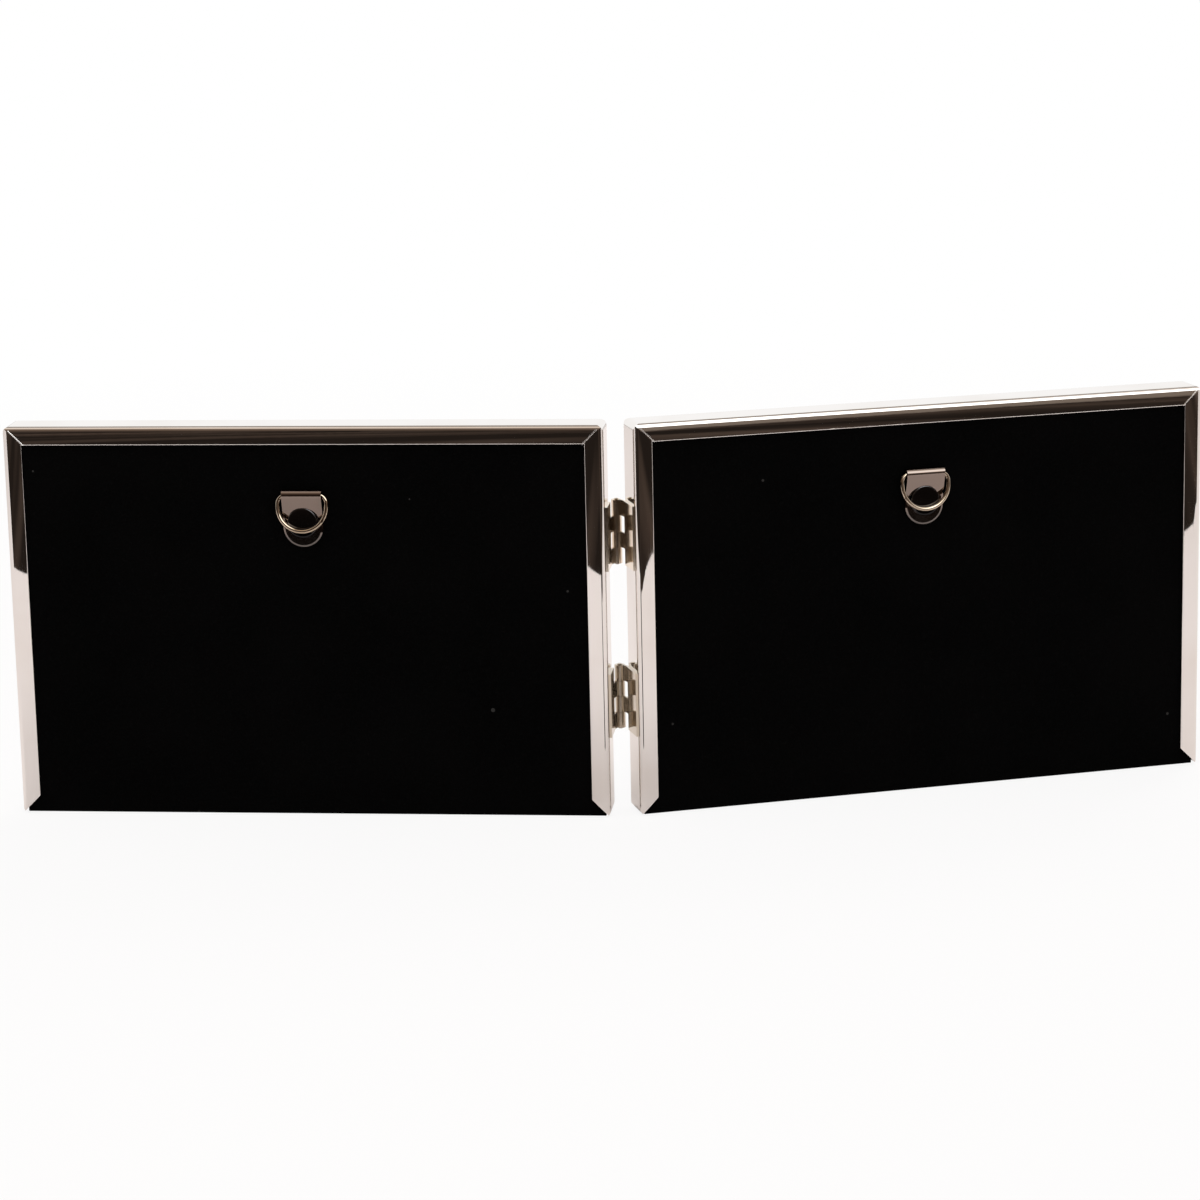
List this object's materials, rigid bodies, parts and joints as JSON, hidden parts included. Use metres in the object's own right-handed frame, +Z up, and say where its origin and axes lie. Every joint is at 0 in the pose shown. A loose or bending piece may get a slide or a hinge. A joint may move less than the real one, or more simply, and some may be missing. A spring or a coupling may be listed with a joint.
{
  "type": "hinged double photo frame",
  "caption": "Polished metal double photo frame for landscape prints, folding on butt hinges, with slide-in velvet-covered backs and swinging hanging rings.",
  "frame": {"origin": "on the standing surface, under the middle of the object's box", "axes": "+Z up; the pictures face -Y and the velvet backs +Y; left and right as seen from the picture side"},
  "size_m": [0.3224, 0.0398, 0.106],
  "materials": {
    "polished_nickel": "mirror-polished nickel plate",
    "hinge_nickel": "nickel plate, slightly yellowed",
    "hanger_nickel": "bright nickel plate",
    "clear_glass": "polished clear glass",
    "blank_print": "satin photo paper, blank",
    "grey_card": "uncoated grey card",
    "hardboard": "bare hardboard",
    "black_velvet": "short black velvet pile"
  },
  "bodies": {
    "right_frame": {"right_top_rail": "polished_nickel", "right_foot_rail": "polished_nickel", "right_hinge_rail": "polished_nickel", "right_outer_rail": "polished_nickel", "right_glass": "clear_glass", "right_photo_print": "blank_print", "right_backing_card": "grey_card", "upper_hinge_right_leaf": "hinge_nickel", "lower_hinge_right_leaf": "hinge_nickel", "upper_hinge_pin": "hinge_nickel", "lower_hinge_pin": "hinge_nickel"},
    "right_back": {"right_back_board": "hardboard", "right_velvet_cover": "black_velvet", "right_hanger_strap": "hanger_nickel", "right_rivet_cap": "hanger_nickel", "right_rivet_base": "hanger_nickel"},
    "right_ring": {"right_hanging_ring": "hanger_nickel"},
    "left_frame": {"left_top_rail": "polished_nickel", "left_foot_rail": "polished_nickel", "left_hinge_rail": "polished_nickel", "left_outer_rail": "polished_nickel", "left_glass": "clear_glass", "left_photo_print": "blank_print", "left_backing_card": "grey_card", "upper_hinge_left_leaf": "hinge_nickel", "lower_hinge_left_leaf": "hinge_nickel"},
    "left_back": {"left_back_board": "hardboard", "left_velvet_cover": "black_velvet", "left_hanger_strap": "hanger_nickel", "left_rivet_cap": "hanger_nickel", "left_rivet_base": "hanger_nickel"},
    "left_ring": {"left_hanging_ring": "hanger_nickel"}
  },
  "joints": [
    {"name": "fold", "type": "hinge", "parent": "right_frame", "child": "left_frame", "pos_m": [0, 0.00834, 0.053], "axis": [0, 0, 1], "range_deg": [-31, 158]},
    {"name": "right_back_slide", "type": "slide", "parent": "right_frame", "child": "right_back", "axis": [0, 0, -1], "range_m": [0, 0.105]},
    {"name": "right_ring_swing", "type": "hinge", "parent": "right_back", "child": "right_ring", "pos_m": [0.08281, 0.00601, 0.0877], "axis": [0.9833, -0.1822, 0], "range_deg": [0, 168]},
    {"name": "left_back_slide", "type": "slide", "parent": "left_frame", "child": "left_back", "axis": [0, 0, -1], "range_m": [0, 0.105]},
    {"name": "left_ring_swing", "type": "hinge", "parent": "left_back", "child": "left_ring", "pos_m": [-0.08281, 0.00601, 0.0877], "axis": [0.9833, 0.1822, 0], "range_deg": [0, 168]}
  ]
}
